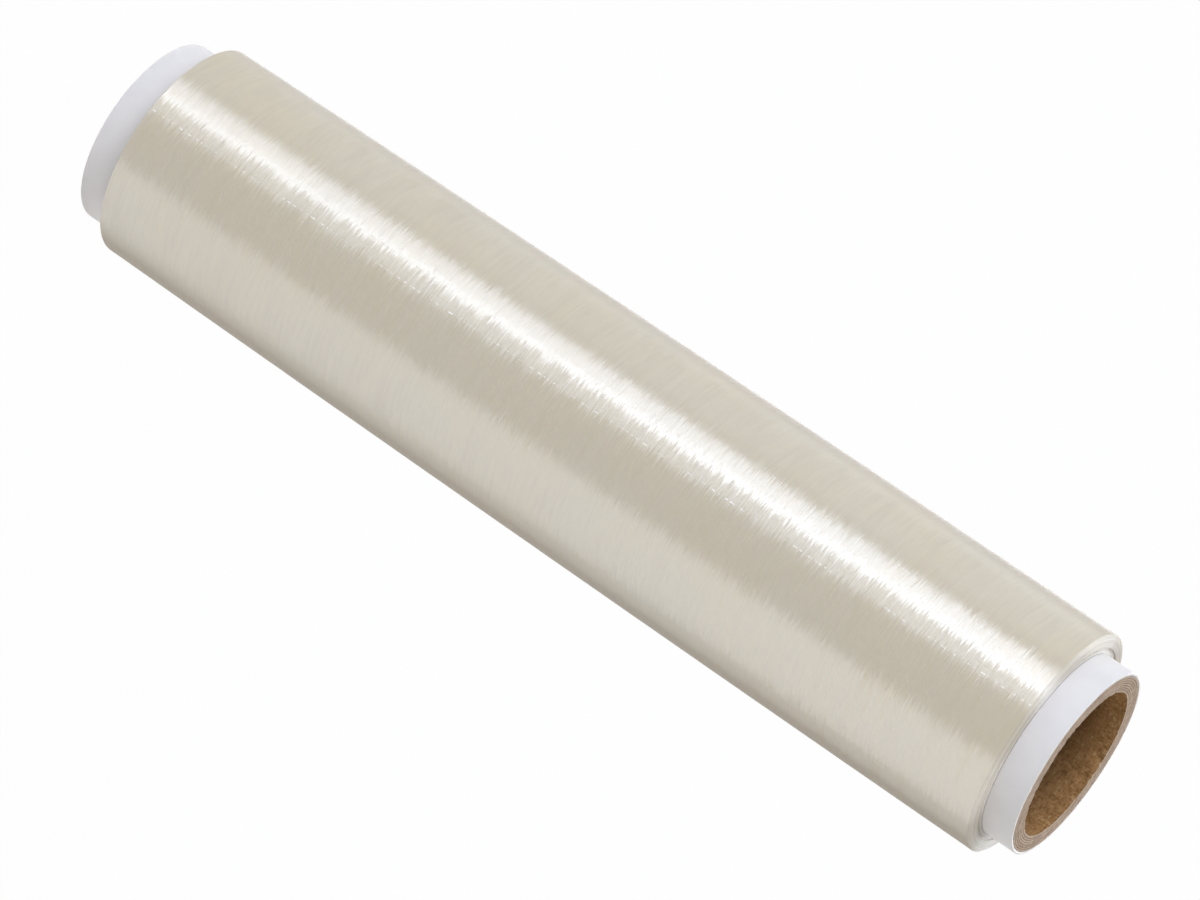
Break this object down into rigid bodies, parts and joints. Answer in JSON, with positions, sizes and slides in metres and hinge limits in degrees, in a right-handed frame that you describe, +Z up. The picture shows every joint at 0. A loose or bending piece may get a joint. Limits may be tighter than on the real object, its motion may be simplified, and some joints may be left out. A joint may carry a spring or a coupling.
{
  "type": "cling film roll",
  "caption": "Full roll of clear kitchen cling film with soft shoulders, wound on a white-faced kraft paperboard tube that stands out at both ends.",
  "frame": {"origin": "centre of the core's lower cut end, which the roll stands on", "axes": "+Z up along the roll's axis; X and Y are any two directions across it"},
  "size_m": [0.0682, 0.0682, 0.32],
  "materials": {
    "clear_film": "glossy, pearly from many clear turns, with hair-fine streaks round the roll",
    "kraft_board": "matt, fibrous brown kraft board, lighter at the saw cut",
    "white_paper": "smooth white machine-finished paper"
  },
  "bodies": {
    "root": {"film_winding": "clear_film", "core_tube": "kraft_board", "core_facing": "white_paper"}
  },
  "joints": []
}
